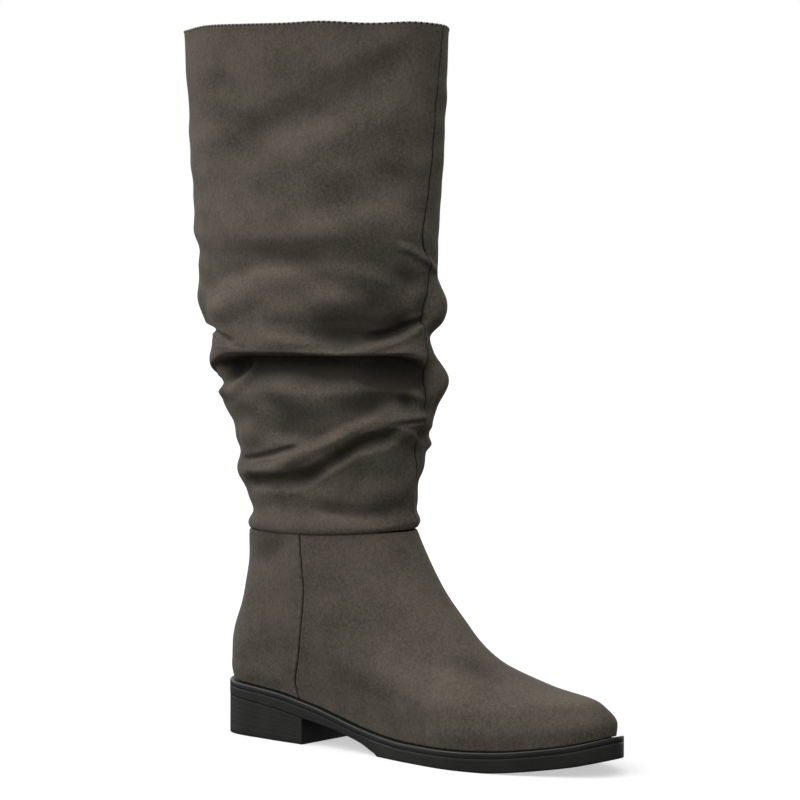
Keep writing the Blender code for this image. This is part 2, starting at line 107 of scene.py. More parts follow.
# Folds of the slack shaft. Each follows a path of (angle, height) places, with 0 the front, 90 medial,
# 180 the back and 270 lateral. It is soft over a distance above and below, reaches out or in, hangs down
# or lifts, and fades at its ends over some degrees.
FOLD_COLUMNS = ("path", "above", "below", "reach", "hang", "fade")
FOLDS = (
    # the smooth top flares a little, then dips in, with a crease that hangs over the dip at the front
    (((168, 283), (205, 283), (230, 281)), 6, 6, -2.0, 0, 16),
    (((200, 291), (235, 293), (262, 292), (300, 290.5), (335, 290.5), (372, 286)), 10, 8, 1.6, 0, 20),
    (((196, 264), (225, 265), (240, 268), (255, 272.5), (285, 277.5), (314, 276), (340, 269),
      (358, 260)), 8, 5, -2.2, 0, 20),
    (((331, 285.5), (342, 283), (351, 279.5), (360, 275.5), (380, 268)), 1.8, 2.4, 1.9, -1.0, 12),
    # two shallow slanting sags in the smooth part above
    (((242, 333), (265, 345), (286, 357), (305, 367), (325, 378), (348, 388)), 10, 13, -3.6, 0, 26),
    (((282, 305), (300, 311), (320, 317), (346, 321)), 8, 9, -2.2, 0, 24),
    # upper roll with a small ridge on its front half, the fullness under it, its bulge at the back and its
    # knob at the front
    (((216, 246), (240, 249), (254, 254.5), (266, 260), (280, 259), (296, 254), (312, 251)),
     7, 7, 2.6, 0, 18),
    (((284, 250), (298, 251), (310, 251.5), (324, 252)), 5, 5, 2.2, 0, 14),
    (((224, 242), (250, 242), (266, 241), (284, 243), (302, 246)), 9, 9, 3.4, 0, 16),
    (((186, 254), (205, 254), (226, 254)), 12, 11, 2.4, 0, 18),
    (((352, 251), (385, 250), (432, 250)), 9, 9, 6.0, 0, 22),
    # the long hollow under the upper roll on the front half, ending in a crease
    (((272, 244), (300, 240), (320, 239), (345, 241), (360, 246)), 25, 16, -5.2, 0, 24),
    (((262, 240), (276, 236.5), (290, 235.2), (302, 234.8), (314, 235.0), (328, 234.6),
      (340, 237.5), (358, 242)), 6, 3.0, -2.8, 0, 18),
    # dent and crease at the back, and the small wrinkles beside it
    (((170, 235.5), (200, 235.5), (226, 234)), 2.4, 9, -4.2, 0, 14),
    (((198, 236), (212, 236), (226, 235.5), (238, 233), (252, 230)), 1.6, 1.4, -2.4, 0, 10),
    (((220, 232), (236, 231), (250, 229.5)), 0.9, 0.9, -0.8, 0, 8),
    (((226, 229.6), (240, 229), (256, 228)), 0.9, 0.9, -0.6, 0, 8),
    # tuck at the front, and the rope it pulls up out of the lip
    (((312, 232.5), (325, 233.6), (337, 236.3), (348, 239.3), (366, 243)), 2.4, 1.2, -3.4, 0, 12),
    (((354, 238), (372, 234), (390, 231), (432, 231)), 5, 7.5, -4.2, 0, 20),
    (((300, 227), (312, 227.6), (322, 229), (332, 232.0), (346, 235.8), (364, 240)), 1.8, 2.6, 1.6, 0, 16),
    # main lip over its hollow, sinking into a bulge at the back, and the knob at the front
    (((188, 210), (204, 214), (220, 219.5), (236, 224.5), (252, 226), (290, 226.5), (324, 226.5), (345, 226),
      (356, 223), (364, 221)), 8, 2.4, 3.0, -1.5, 26),
    (((270, 229), (290, 228.5), (315, 228), (342, 228)), 6, 3, -1.6, 0, 18),
    (((216, 212), (232, 216), (250, 218.5), (285, 219), (310, 219), (333, 219), (350, 217),
      (366, 212)), 2.0, 9.6, -11.0, 2.0, 16),
    (((306, 211), (333, 209.5), (350, 206.5), (368, 203)), 5, 4, -6.0, 0, 14),
    (((362, 207), (388, 207), (432, 206)), 8.5, 8, 5.6, 0, 20),
    # pocket at the back under the lip
    (((200, 200), (222, 201.5), (236, 205), (246, 210), (254, 217)), 2.4, 4, 3.0, 0, 10),
    (((222, 210), (236, 213), (248, 217)), 3.0, 3.0, -3.4, 0, 9),
    (((172, 204.5), (200, 204.5), (222, 205.5)), 2.6, 3.0, -3.5, 0, 14),
    # the slack between main lip and rope fold: a faint dip slanting up to the front, and the hollow under it
    (((212, 176), (228, 180), (246, 187), (258, 193), (272, 201), (286, 206), (300, 208), (326, 207),
      (352, 203)), 6, 8, -0.6, 0, 22),
    (((254, 181), (270, 180), (284, 178), (299, 183.5), (313, 190.5), (328, 197), (342, 198), (358, 196)),
     11, 4.4, -4.3, 0, 18),
    # rope fold climbing to the front from a round end at the back, with a dip over its front half and a fine
    # ridge along it
    (((172, 157), (204, 157), (232, 157)), 7, 8, 3.0, 0, 18),
    (((216, 154.5), (232, 155), (248, 156.5), (268, 162), (284, 169.5), (299, 175), (314, 181)),
     3.1, 4.4, 2.2, -1.0, 16),
    (((300, 174.5), (313, 180), (328, 183.5), (342, 185.4), (372, 187)), 6, 3, 1.2, -0.5, 18),
    (((304, 198), (326, 198), (344, 195.5), (360, 194)), 5, 7, -2.4, 0, 16),
    (((318, 182), (330, 185.4), (345, 187.6), (370, 188.6)), 1.8, 1.6, 0.9, 0, 14),
    # the crease above it, the groove along its front end, and the hollow under it
    (((220, 162), (232, 162.5), (248, 164.6), (268, 168.6), (281, 172)), 1.5, 1.3, -2.2, 0, 12),
    (((334, 184.4), (350, 184.8), (368, 185.4)), 1.1, 1.3, -1.4, 0, 12),
    (((224, 150.5), (246, 151.2), (268, 151), (284, 155), (299, 163.5), (313, 172), (328, 176), (342, 179)),
     3.4, 4.0, -5.0, 0, 12),
    # branch of the rope fold, ending in a small peak
    (((326, 182.5), (340, 180), (350, 177), (362, 173.5), (372, 171)), 1.8, 4.0, 1.8, 0, 12),
    (((350, 177), (374, 176), (400, 176)), 3, 3.5, -2.0, 0, 14),
    (((374, 170.5), (387, 170.5), (402, 170)), 2.6, 2.4, 1.6, 0, 10),
    # hollow under the lower knob, and the two smooth rises under the peak
    (((332, 196), (348, 194.5), (362, 193), (378, 192)), 5, 4, -2.2, 0, 14),
    (((350, 158), (368, 156), (386, 155)), 8, 6, 1.4, 0, 12),
    (((316, 147), (335, 147), (352, 148), (374, 150)), 10, 9, 2.6, 0, 14),
    # two small rolls and a dent at the back
    (((185, 175), (205, 175), (228, 175)), 5, 5, 1.6, 0, 14),
    (((220, 176), (236, 177), (252, 180)), 7, 6, 1.5, 0, 11),
    (((178, 132), (205, 132), (238, 132)), 5, 3.5, -1.6, 0, 20),
    # the hem's blouse is drawn in deeper towards the front
    (((282, 135.5), (298, 133), (312, 131.3), (330, 129.8), (350, 129.5)), 4.5, 2.0, -2.4, 0, 18),
    # medial side, where the same folds run on
    (((60, 262), (130, 263), (206, 258)), 14, 14, 2.6, 0, 26),
    (((55, 240), (130, 238), (212, 237)), 8, 6, -4.0, 0, 26),
    (((50, 222), (130, 222), (204, 220)), 8, 3, 4.6, -1.0, 26),
    (((50, 210), (130, 212), (206, 207)), 4, 8, -4.0, 0, 26),
    (((40, 190), (130, 189), (216, 192)), 11, 10, 3.0, 0, 26),
    (((35, 178), (130, 171), (216, 166)), 6, 4, -3.2, 0, 26),
    (((28, 170), (120, 162), (208, 156)), 6, 4, 4.0, 0, 26),
    (((28, 158), (120, 150), (206, 148)), 4, 8, -2.6, 0, 26),
)
# How far the front seam draws the slack in at each height, most where it runs between two puffs
SEAM_PULL = ((140, 0.0), (150, -0.8), (172, -1.6), (190, -1.4), (207, -6.0), (222, -1.6), (234, -1.2),
             (251, -4.8), (267, -1.4), (285, -0.8), (300, 0.0))
FOLDS_TOP = 300.0                   # above this the shaft only sags a little
HEM_DIP = (136.0, 6.0, -0.35)       # height, softness and reach of the hem drawn in above the ankle seam
HEM_BLOUSE = (127.2, 3.4, 2.0)      # and of the bulge that blouses over it
# How far the blouse hangs down over the ankle seam at each angle
HEM_HANG = ((180, -0.2), (215, -0.6), (245, -2.0), (270, -3.4), (290, -3.8), (315, -3.2), (340, -1.8),
            (360, -0.8), (420, -1.4), (450, -2.2), (500, -1.0), (540, -0.2))
HANG_LINE = (125.5, 3.6)            # height and softness of the stretch that hangs

# The seam down the front of the shaft: its angle at each height
FRONT_SEAM = ((120, 371), (134, 369), (150, 365), (164, 360.5), (175, 358), (188, 363.5), (197, 365),
              (208, 365), (220, 363), (232, 360), (247, 359), (258, 362), (271, 363), (283, 354),
              (291, 351.5), (304, 354.5), (330, 356.5), (370, 359.5), (406, 364))
# The collar's edge is slack: how much it rises at each angle
COLLAR_WAVE = ((180, -0.5), (196, 1.0), (207, 1.1), (219, 1.2), (238, 2.7), (262, 2.5), (280, 2.4),
               (295, 3.1), (316, 1.8), (337, 2.8), (352, 2.4), (368, 1.6), (380, 0.2), (396, -0.6),
               (440, 0.5), (490, 1.5), (540, -0.5))
WAVE_START = 340.0                  # height where that slackness starts
HEM_BAND = 4.6                      # depth of the turned-over hem at the collar
STITCH_PITCH = 3.3
STITCH = (1.6, 1.5, 0.9)            # length, depth and thickness of a stitch over the collar's edge
PUFF = (1.9, 1.4, 1.0)              # and of the cut edge that puffs out between two


def linear(hex_colour):
    """An sRGB hex colour as linear RGBA."""
    parts = [int(hex_colour[i:i + 2], 16) / 255 for i in (1, 3, 5)]
    return [c / 12.92 if c <= 0.04045 else ((c + 0.055) / 1.055) ** 2.4 for c in parts] + [1.0]


def smooth_through(knots, values, at):
    """A smooth curve through the knots, flat beyond its ends."""
    knots, values = np.asarray(knots, float), np.asarray(values, float)
    at = np.clip(at, knots[0], knots[-1])
    order = np.arange(len(knots))
    low, high = np.maximum(order - 1, 0), np.minimum(order + 1, len(knots) - 1)
    slope = (values[high] - values[low]) / (knots[high] - knots[low])
    i = np.clip(np.searchsorted(knots, at, side="right") - 1, 0, len(knots) - 2)
    width = knots[i + 1] - knots[i]
    t = (at - knots[i]) / width
    start = values[i] * (1 + 2 * t) * (1 - t) ** 2 + slope[i] * width * t * (1 - t) ** 2
    return start + values[i + 1] * t * t * (3 - 2 * t) + slope[i + 1] * width * t * t * (t - 1)


def along_path(path, at):
    """The second value of a path of pairs at a place along the first."""
    return smooth_through([pair[0] for pair in path], [pair[1] for pair in path], at)


def read(rows, columns, name, at):
    """A named column at a place along the table's first column."""
    place = columns.index(name)
    return smooth_through([row[0] for row in rows], [row[place] for row in rows], at)


def eased(share):
    """0 to 1 with soft ends."""
    share = np.clip(share, 0.0, 1.0)
    return share * share * (3 - 2 * share)


def bell(distance, width):
    """1 in the middle, falling softly to 0 on both sides."""
    return np.exp(-(distance / width) ** 2)


def quarter_round(share):
    """How far a rounded edge has turned in, 0 where it starts to 1 at its end."""
    return 1 - np.sqrt(1 - np.clip(share, 0.0, 1.0) ** 2)


def feather_height(station):
    """Height of the welt's top."""
    return read(SOLE_ROWS, SOLE_COLUMNS, "feather", station)


def underside_height(station):
    """Height of the outsole's underside, with the tread flat on the ground."""
    flat = (station >= TREAD_START) & (station <= TREAD_END)
    return np.where(flat, 0.0, np.maximum(0.0, read(SOLE_ROWS, SOLE_COLUMNS, "underside", station)))


def unevenness(angle, height, seed, count=16, longest=70.0, shortest=16.0):
    """Soft random waves of slack material, about 1 high, that close round the boot."""
    chance = np.random.default_rng(seed)
    total = 0.0
    for _ in range(count):
        turns = chance.integers(-9, 10)
        length = longest * (shortest / longest) ** chance.random()
        phase = chance.random() * 2 * math.pi
        total = total + np.sin(turns * np.radians(angle) + 2 * math.pi * height / length + phase)
    return total / math.sqrt(count)


def outward(grid):
    """Unit normals of a grid of points that closes round its columns."""
    across = np.roll(grid, -1, axis=1) - np.roll(grid, 1, axis=1)
    up = np.gradient(grid, axis=0)
    normal = np.cross(across, up)
    normal /= np.maximum(np.linalg.norm(normal, axis=2, keepdims=True), 1e-9)
    middle = grid.mean(axis=1, keepdims=True)
    return normal * np.sign(np.sum(normal * (grid - middle), axis=2).mean())


def seam_profile(distance):
    """A sewn seam: the groove along the stitching and the edges that swell beside it."""
    depth, groove = SEAM_GROOVE
    swell, beside, width = SEAM_SWELL
    return swell * bell(np.abs(distance) - beside, width) - depth * bell(distance, groove)


def in_scene(name, mesh, stands_for=()):
    """Puts a finished mesh on the boot's body."""
    mesh.shade_smooth()
    piece = bpy.data.objects.new(name, mesh)
    bpy.context.scene.collection.objects.link(piece)
    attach(piece, "root")
    if stands_for:
        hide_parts(*stands_for)
    return piece


def laid_out(name, grid, materials, material_of_row=None, marks=None):
    """A closed skin from a sheet of faces laid out on a grid of points in millimetres.

    The last row and column of the grid repeat the first where the skin closes on itself."""
    rows, columns = grid.shape[0] - 1, grid.shape[1] - 1
    builder = bmesh.new()
    bmesh.ops.create_grid(builder, x_segments=columns, y_segments=rows, size=1.0)
    mesh = bpy.data.meshes.new(name)
    builder.to_mesh(mesh)
    flat = np.empty(len(mesh.vertices) * 3)
    mesh.vertices.foreach_get("co", flat)
    flat = flat.reshape(-1, 3)
    column = np.rint((flat[:, 0] + 1) / 2 * columns).astype(int)
    row = np.rint((flat[:, 1] + 1) / 2 * rows).astype(int)
    mesh.vertices.foreach_set("co", (grid[row, column] * MM).astype(np.float32).ravel())
    for mark, values in (marks or {}).items():
        layer = mesh.attributes.new(mark, "FLOAT", "POINT")
        layer.data.foreach_set("value", values[row, column].astype(np.float32))
    for material in materials:
        mesh.materials.append(material)
    if material_of_row is not None:
        corners = np.empty(len(mesh.loops), dtype=np.int32)
        mesh.loops.foreach_get("vertex_index", corners)
        first_row = row[corners.reshape(-1, 4)].min(axis=1)
        chosen = np.asarray(material_of_row)[first_row].astype(np.int32)
        mesh.polygons.foreach_set("material_index", chosen)
    builder.clear()
    builder.from_mesh(mesh)
    bmesh.ops.remove_doubles(builder, verts=builder.verts, dist=0.01 * MM)
    bmesh.ops.dissolve_degenerate(builder, dist=0.005 * MM, edges=builder.edges)
    bmesh.ops.recalc_face_normals(builder, faces=builder.faces)
    builder.to_mesh(mesh)
    builder.free()
    return mesh


def closed_wall(outer, inner):
    """The grid of a wall that runs up outside and down inside, closed on its first row and column."""
    grid = np.concatenate([outer, inner, outer[:1]])
    return np.concatenate([grid, grid[:, :1]], axis=1)


def on_suede(values, grid):
    """Values of a wall's outer face as a mark for its whole grid, with none on the lining."""
    mark = np.zeros(grid.shape[:2])
    mark[:len(values), :-1] = values
    mark[:, -1] = mark[:, 0]
    return mark


# Foot

def section_outline(level, angle):
    """Station and y of a foot section: angle runs from 0 at the back past +90 medial and -90 lateral."""
    row = {name: float(read(FOOT_ROWS, FOOT_COLUMNS, name, level)) for name in FOOT_COLUMNS[1:]}
    sides = ("toe", "fore", "ball", "joint", "waist")
    lateral = [-row[name + "_lat"] for name in sides]
    medial = [row[name + "_med"] for name in reversed(sides)]
    half = list(SECTION_ANGLES) + [180.0]
    toe = SECTION_ANGLES[-1]
    knots = [toe - 360.0] + [-a for a in reversed(half)] + [0.0] + half + [360.0 - toe]
    heel = [-row["heel"], -row["rear"], 0.0, row["rear"], row["heel"]]
    widths = [row["toe_med"], row["tip"]] + lateral + heel + medial + [row["tip"], -row["toe_lat"]]
    station = row["back"] + (row["front"] - row["back"]) * (1 - np.cos(np.radians(angle))) / 2
    return station, smooth_through(knots, widths, angle)


def outline_with_margin(angle, margin):
    """The feather line moved outwards by a margin, in plan."""
    station, y = section_outline(0.0, angle)
    ahead = section_outline(0.0, (angle + 181.0) % 360.0 - 180.0)
    behind = section_outline(0.0, (angle + 179.0) % 360.0 - 180.0)
    along = np.stack([ahead[0] - behind[0], ahead[1] - behind[1]])
    along = along / np.linalg.norm(along, axis=0)
    margin = margin * (1 + TOE_SHARE * eased((np.abs(angle) - 140) / 36))
    return station - along[1] * margin, y + along[0] * margin


def foot_columns(level):
    """Angles from the back round one level of the foot, close together at the two counter seams, with the
    distance of each from its seam."""
    back, front = (float(read(FOOT_ROWS, FOOT_COLUMNS, name, level)) for name in ("back", "front"))
    station = float(along_path(COUNTER_SEAM, level))
    seam = math.degrees(math.acos(1 - 2 * (station - back) / (front - back)))
    reach = 6.0
    half = math.degrees(reach / ((front - back) / 2 * math.sin(math.radians(seam))))
    near = np.linspace(-1, 1, 33)
    near = np.sign(near) * np.abs(near) ** 1.5
    parts = (np.linspace(-180, -seam - half, 73)[:-1], -seam + near[:-1] * half,
             np.linspace(-seam + half, seam - half, 61)[:-1], seam + near[:-1] * half,
             np.linspace(seam + half, 180, 61)[:-1])
    angles = np.concatenate(parts)
    away = np.minimum(np.abs(angles - seam), np.abs(angles + seam)) / half * reach
    return angles, away


def make_foot(suede, lining):
    """The foot: suede outside from the welt to the ankle seam, over its edge and down the lining."""
    low_edge, high_edge = 0.012, 0.984
    low_round, high_round = 0.6, 1.1
    swell_height, pucker_height, pucker_pitch = 0.32, 0.1, 5.2
    levels = np.concatenate([np.linspace(0, low_edge, 9)[:-1], np.linspace(low_edge, 0.42, 96)[:-1],
                             np.linspace(0.42, high_edge, 66)[:-1], np.linspace(high_edge, 1.0, 9)])
    points, seam_away, turn = [], [], []
    for level in levels:
        angles, away = foot_columns(level)
        station, y = section_outline(level, angles)
        foot = feather_height(station) + GAP
        ankle = ANKLE_HEIGHT + ANKLE_RISE * np.cos(np.radians(180 - angles))
        points.append(np.stack([station - HEEL_CENTRE, y, foot + (ankle - foot) * level], axis=1))
        seam_away.append(away)
        turn.append(angles)
    base, away, turn = np.array(points), np.array(seam_away), np.array(turn)
    normal = outward(base)
    level = levels[:, None]
    height = base[:, :, 2]
    edge = (low_round * quarter_round(1 - level / low_edge)
            + high_round * quarter_round(1 - (1 - level) / (1 - high_edge)))
    inside = eased(level / 0.1) * eased((1 - level) / 0.06)
    swell = swell_height * unevenness(turn, height, 5, longest=90.0, shortest=24.0) * inside
    gathers = np.sin(2 * math.pi * height / pucker_pitch + 1.3 * np.sin(height / 7))
    pucker = pucker_height * bell(away, 4.0) * gathers
    outer = base + normal * (seam_profile(away) + swell + pucker * inside - edge)[:, :, None]

    inner_levels = np.linspace(len(levels) - 1, 4, 26).round().astype(int)
    inner = base[inner_levels] - normal[inner_levels] * WALL
    grid = closed_wall(outer, inner)
    # Crest mark: high swells and seam edges come out paler, partly rubbed nap and partly painted highlight;
    # low places get painted shade
    marks = {"seam": on_suede(bell(away, 0.5), grid),
             "crest_wear_and_painted_fold_shading": on_suede(swell + pucker + 0.5 * bell(away - 1.8, 1.2), grid)}
    lined = np.r_[np.zeros(len(levels), int), np.ones(len(inner_levels), int), 0]
    mesh = laid_out("suede_foot", grid, (suede, lining), lined, marks)
    return in_scene("suede_foot", mesh, ("upper",))


# Shaft

def fold_field(angle, height):
    """How far the folds push the shaft out, and how far they let it hang, at each place."""
    reach, hang = np.zeros(angle.shape), np.zeros(angle.shape)
    for row in FOLDS:
        fold = dict(zip(FOLD_COLUMNS, row))
        start, end = fold["path"][0][0], fold["path"][-1][0]
        along = (angle - start) % 360.0
        above = height - along_path([(place - start, level) for place, level in fold["path"]], along)
        away = np.where(above > 0, above / fold["above"], -above / fold["below"])
        strength = np.where(away < 2, np.cos(math.pi * np.minimum(away, 2) / 4) ** 2, 0.0)
        strength *= eased(np.minimum(along, end - start - along) / fold["fade"])
        reach += fold["reach"] * strength
        hang += fold["hang"] * strength
    for line, soft, push in (HEM_DIP, HEM_BLOUSE):
        reach += push * bell(height - line, soft) * (0.8 + np.sign(push) * 0.3 * np.cos(np.radians(angle)))
    droop = along_path(HEM_HANG, (angle - 180.0) % 360.0 + 180.0)
    line, soft = HANG_LINE
    hang += droop * bell(height - line, soft) * eased((height - ANKLE_HEIGHT) / 1.2)
    return reach, hang


def shaft_base(angle, height):
    """The plain shaft: its points, and the plan direction that faces outwards."""
    centre, depth, breadth = (read(SHAFT_ROWS, SHAFT_COLUMNS, name, height) for name in SHAFT_COLUMNS[1:])
    turn = np.radians(angle)
    out = np.stack([np.cos(turn) / depth, np.sin(turn) / breadth, np.zeros(turn.shape)], axis=-1)
    out /= np.linalg.norm(out, axis=-1, keepdims=True)
    rise = np.clip((height - ANKLE_HEIGHT) / (COLLAR_HEIGHT - ANKLE_HEIGHT), 0, 1)
    tilt = (1 - rise) * (ANKLE_RISE * np.cos(turn) + GAP) - rise * COLLAR_DROP * np.cos(turn)
    wave = along_path(COLLAR_WAVE, (angle - 180.0) % 360.0 + 180.0)
    tilt = tilt + wave * eased((height - WAVE_START) / (COLLAR_HEIGHT - WAVE_START))
    station = centre + depth * np.cos(turn)
    return np.stack([station - HEEL_CENTRE, breadth * np.sin(turn), height + tilt], axis=-1), out


def shaft_columns():
    """Angles from the front seam, close together beside it and closer on the outer side than the inner."""
    strip, inner_end = 8.5, 176
    near = np.linspace(-1, 1, 35)
    near = np.sign(near) * np.abs(near) ** 1.4 * strip
    return np.concatenate([near[:-1], np.linspace(strip, inner_end, 57)[:-1],
                           np.linspace(inner_end, 360 - strip, 118)[:-1]])


def make_shaft(suede, lining):
    """The slack shaft: suede outside from the ankle seam to the collar, over the hem and down the lining."""
    edge_low, edge_high, hem_low = ANKLE_HEIGHT + 2.2, COLLAR_HEIGHT - 1.2, COLLAR_HEIGHT - HEM_BAND - 3
    low_round, high_round = 1.7, 1.1
    hem_step, pucker_height, pucker_pitch = 0.14, 0.12, 6.1
    # Rows lie closest where the folds are sharpest: start, end and step of each stretch
    stretches = ((edge_low, 148, 0.95), (148, 208, 0.75), (208, 246, 0.5), (246, 292, 0.95),
                 (292, hem_low, 2.4), (hem_low, edge_high, 0.5))
    heights = np.concatenate([np.linspace(ANKLE_HEIGHT, edge_low, 8)[:-1]]
                             + [np.arange(*stretch) for stretch in stretches]
                             + [np.linspace(edge_high, COLLAR_HEIGHT, 8)])
    columns = shaft_columns()
    height = np.repeat(heights[:, None], len(columns), axis=1)
    from_seam = np.repeat(columns[None, :], len(heights), axis=0)
    angle = from_seam + along_path(FRONT_SEAM, height)
    base, out = shaft_base(angle, height)
    reach, hang = fold_field(angle % 360.0, height)
    slack_low, slack_high = ANKLE_HEIGHT + 4, COLLAR_HEIGHT - 6
    slack = eased((height - slack_low) / 12) * eased((slack_high - height) / 30)
    in_folds = eased((FOLDS_TOP - height) / 30)
    swell = slack * unevenness(angle, height, 11) * (0.35 + 0.25 * in_folds)
    hem = hem_step * eased((height - (COLLAR_HEIGHT - HEM_BAND)) / 2.5)
    breadth = read(SHAFT_ROWS, SHAFT_COLUMNS, "half_breadth", height)
    away = np.radians((from_seam + 180.0) % 360.0 - 180.0) * breadth
    gathers = np.sin(2 * math.pi * height / pucker_pitch + np.sin(height / 9))
    pucker = pucker_height * bell(away, 5.0) * gathers * slack
    edge = (low_round * quarter_round(1 - (height - ANKLE_HEIGHT) / (edge_low - ANKLE_HEIGHT))
            + high_round * quarter_round(1 - (COLLAR_HEIGHT - height) / (COLLAR_HEIGHT - edge_high)))
    gathered = along_path(SEAM_PULL, height) * bell(away, 5.2)
    push = reach + swell + hem + pucker + gathered
    outer = base + out * (push - edge)[:, :, None]
    outer[:, :, 2] += hang
    groove = seam_profile(away) * eased((COLLAR_HEIGHT - height) / 2)
    outer += outward(outer) * groove[:, :, None]

    # The lining hangs inside the deepest folds within some rows of it
    rows_near, top_row = 14, len(heights) - 1
    tightest = push.copy()
    for shift in range(-rows_near, rows_near + 1):
        tightest = np.minimum(tightest, push[np.clip(np.arange(len(heights)) + shift, 0, top_row)])
    rows = np.linspace(top_row, 0, 46).round().astype(int)
    lined_wall = base[rows] + out[rows] * (np.minimum(tightest[rows], 0.5) - WALL)[:, :, None]
    grid = closed_wall(outer, lined_wall)
    # Crest mark: fold crests come out paler, partly rubbed nap and partly painted highlight; fold hollows get
    # painted shade
    high_or_deep = np.clip((reach + gathered) / 5, -1.6, 1) * in_folds
    marks = {"seam": on_suede(bell(away, 0.5), grid), "crest_wear_and_painted_fold_shading": on_suede(high_or_deep + 0.4 * swell, grid)}
    lined = np.r_[np.zeros(len(heights), int), np.ones(len(rows), int), 0]
    mesh = laid_out("suede_shaft", grid, (suede, lining), lined, marks)
    return in_scene("suede_shaft", mesh, ("shaft",))


def make_collar_stitches(thread, cut_edge):
    """Small dark stitches whipped over the collar's edge, with its cut edge puffed out between them."""
    angles = np.linspace(0, 360, 1441)
    height = np.full(angles.shape, COLLAR_HEIGHT - 0.5)
    points, out = shaft_base(angles, height)
    length = np.r_[0, np.cumsum(np.linalg.norm(np.diff(points, axis=0), axis=1))]
    count = int(length[-1] / STITCH_PITCH)
    builder = bmesh.new()
    for k in range(count):
        for kind, (share, size) in enumerate(((0.0, STITCH), (0.5, PUFF))):
            at = (k + share + 0.25) / count * length[-1]
            middle, ahead, facing = (
                Vector([np.interp(at + step, length, values[:, axis]) for axis in range(3)])
                for values, step in ((points, 0.0), (points, 0.4), (out, 0.0)))
            along = (ahead - middle).normalized()
            up = facing.cross(along).normalized()
            frame_of_stitch = Matrix((along, up, facing)).transposed().to_4x4()
            frame_of_stitch.translation = middle
            shape = Matrix.Diagonal([axis / 2 for axis in size] + [1.0])
            made = bmesh.ops.create_uvsphere(builder, u_segments=6, v_segments=5, radius=1.0,
                                             matrix=Matrix.Scale(MM, 4) @ frame_of_stitch @ shape)
            for vert in made["verts"]:
                for face in vert.link_faces:
                    face.material_index = kind
    mesh = bpy.data.meshes.new("collar_stitches")
    builder.to_mesh(mesh)
    builder.free()
    mesh.materials.append(thread)
    mesh.materials.append(cut_edge)
    return in_scene("collar_stitches", mesh)


# Sole

SOLE_ANGLES = np.linspace(-180, 180, 301)
# The rounded lower edge of outsole and heel: how far in from the side, and how far above the underside
TREAD_EDGE = ((0.0, 0.6), (0.08, 0.25), (0.3, 0.04))


def sole_ring(angles, margin, height):
    """One ring of the sole at a margin outside the feather line, at a height worked out from the station."""
    station, y = outline_with_margin(angles, margin)
    return np.stack([station - HEEL_CENTRE, y, height(station)], axis=1)


def towards_spine(ring, share):
    """A ring drawn in towards the sole's middle line, where it closes at a share of 1."""
    middle = (ring + ring[::-1]) / 2
    return ring + (middle - ring) * share


def make_welt(rubber, burnished):
    """The strip between suede and outsole, with its top edge rounded."""
    # margin outside the feather line and drop under the welt's top, from the tucked edge round and back to it
    profile = ((-WELT_TUCK, 0.05), (WELT_WIDTH - 2.0, 0.0), (WELT_WIDTH - 0.9, 0.02), (WELT_WIDTH - 0.4, 0.1),
               (WELT_WIDTH - 0.1, 0.3), (WELT_WIDTH, 0.62), (WELT_WIDTH, 1.8),
               (WELT_WIDTH, WELT_THICKNESS - 0.06), (WELT_WIDTH - 0.04, WELT_THICKNESS),
               (-WELT_TUCK, WELT_THICKNESS), (-WELT_TUCK, 0.05))
    edge_of_row = (0, 0, 1, 1, 1, 0, 0, 0, 0, 0)
    rings = [sole_ring(SOLE_ANGLES, margin, lambda station, drop=drop: feather_height(station) - drop)
             for margin, drop in profile]
    mesh = laid_out("welt_strip", np.array(rings), (rubber, burnished), edge_of_row)
    return in_scene("welt_strip", mesh, ("welt",))


def make_outsole(rubber):
    """The outsole: level top, upright side, thinner waist and the forefoot's tread a step lower."""
    def top(station):
        return feather_height(station) - WELT_THICKNESS - BED

    def at(share, lift):
        return lambda station: top(station) + (underside_height(station) - top(station)) * share + lift

    # how far in from the side, share of the way down, and lift above that
    profile = ([(0.04, 0.0, 0.0), (0.0, 0.0, -0.06), (0.0, 0.15, -0.05), (0.0, 0.5, 0.0), (0.0, 0.8, 0.2)]
               + [(inset, 1.0, lift) for inset, lift in TREAD_EDGE] + [(0.7, 1.0, 0.0), (1.7, 1.0, 0.0)])
    rings = [sole_ring(SOLE_ANGLES, WELT_WIDTH - inset, at(share, lift)) for inset, share, lift in profile]
    rings = ([towards_spine(rings[0], share) for share in (1.0, 0.6, 0.25)] + rings
             + [towards_spine(rings[-1], share) for share in (0.12, 0.3, 0.6, 1.0)])
    mesh = laid_out("rubber_outsole", np.array(rings), (rubber,))
    return in_scene("rubber_outsole", mesh, ("outsole",))


